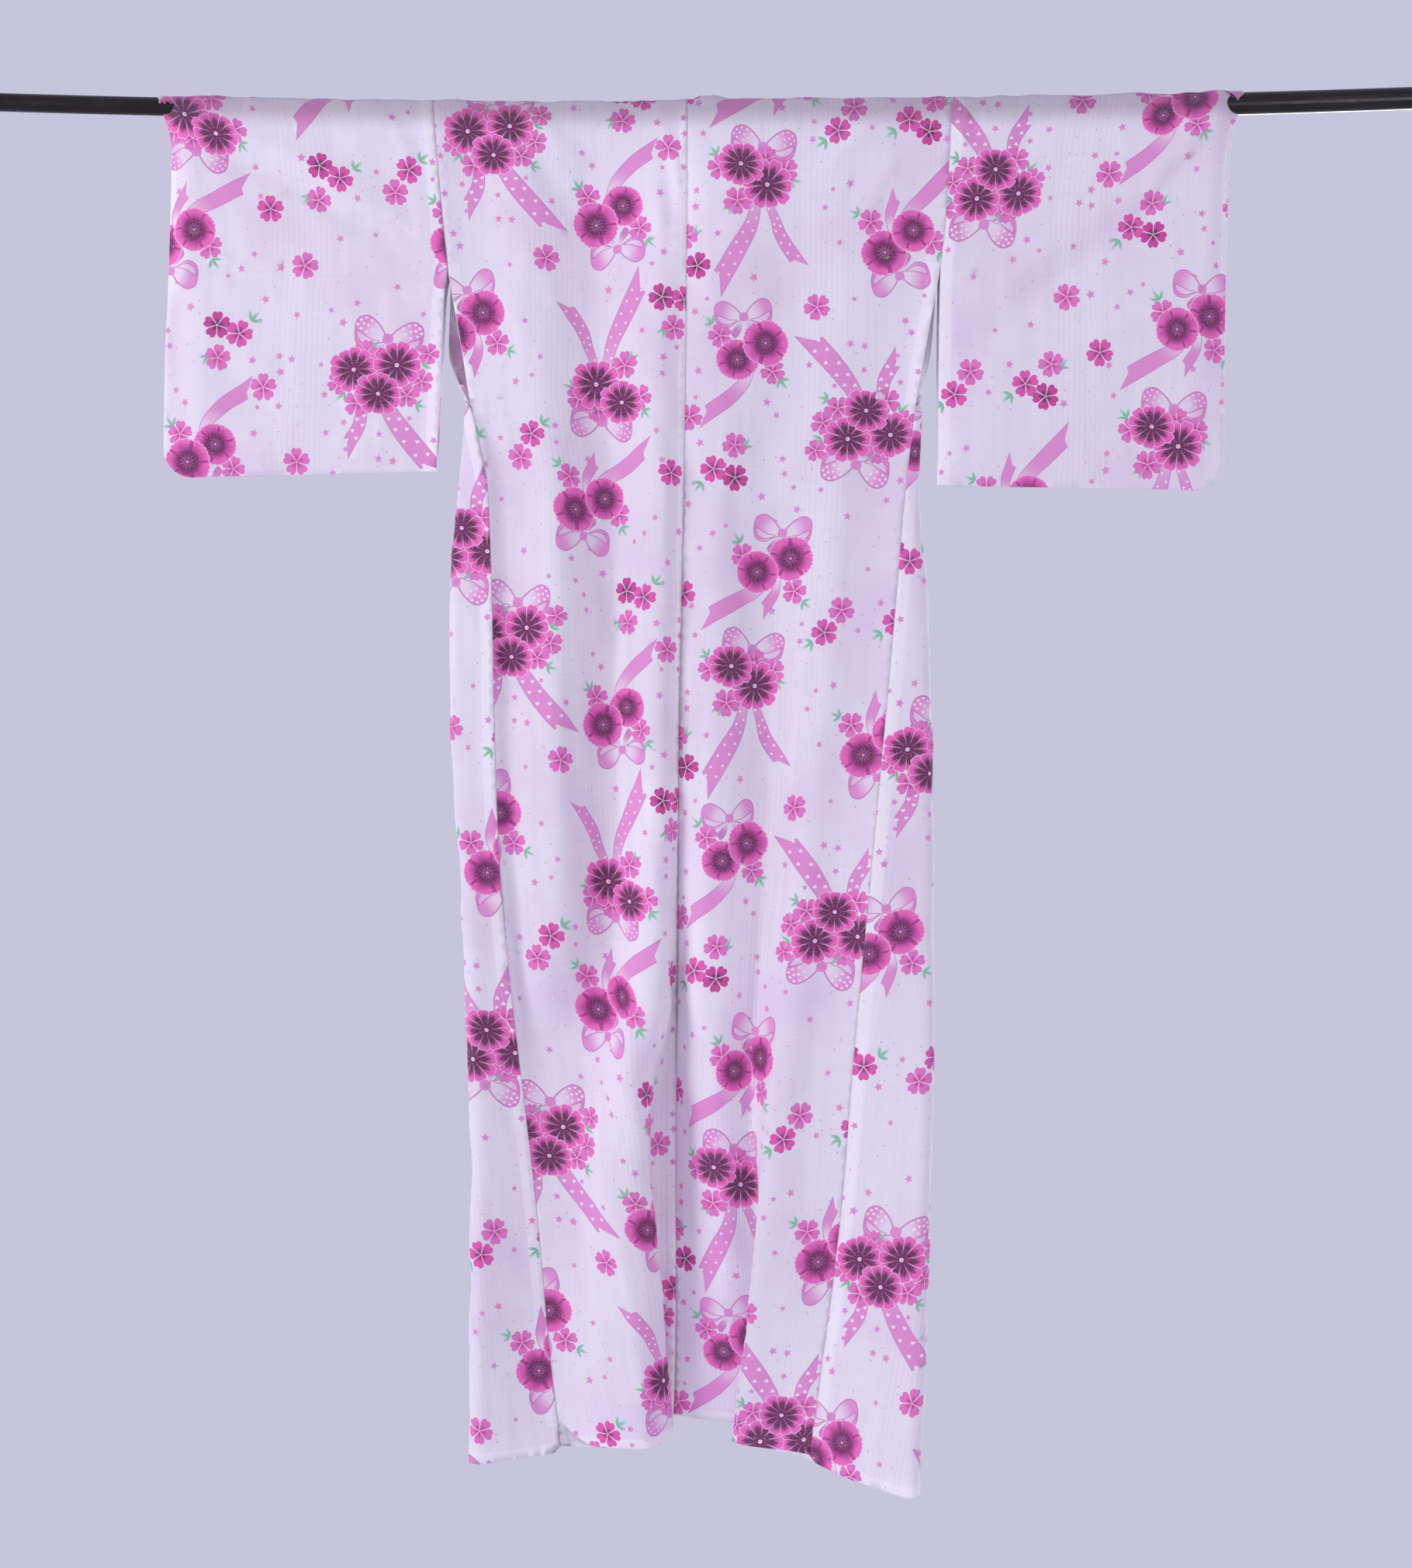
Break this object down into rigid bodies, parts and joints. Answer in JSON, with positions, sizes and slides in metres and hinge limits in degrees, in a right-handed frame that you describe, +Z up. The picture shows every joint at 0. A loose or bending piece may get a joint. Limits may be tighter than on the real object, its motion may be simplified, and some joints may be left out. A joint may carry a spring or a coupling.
{
  "type": "yukata robe on a hanging rod",
  "caption": "Unlined cotton summer robe with square sleeves, floral print and no belt, hung by both sleeves on a black telescopic rod.",
  "frame": {"origin": "on the rod's axis at the middle of the robe, where the rod is taken as held", "axes": "+Z up, +X along the rod towards the wearer's right sleeve, -Y out of the robe's back, +Y out of its open fronts"},
  "size_m": [1.8909, 0.195, 1.7416],
  "materials": {
    "cotton": "plain woven cotton, matte",
    "rod_paint": "glossy black"
  },
  "bodies": {
    "root": {"body_left": "cotton", "body_right": "cotton", "overlap_left": "cotton", "overlap_right": "cotton", "collar": "cotton", "sleeve_left": "cotton", "sleeve_right": "cotton", "rod_thin": "rod_paint", "rod_thick": "rod_paint"}
  },
  "joints": []
}
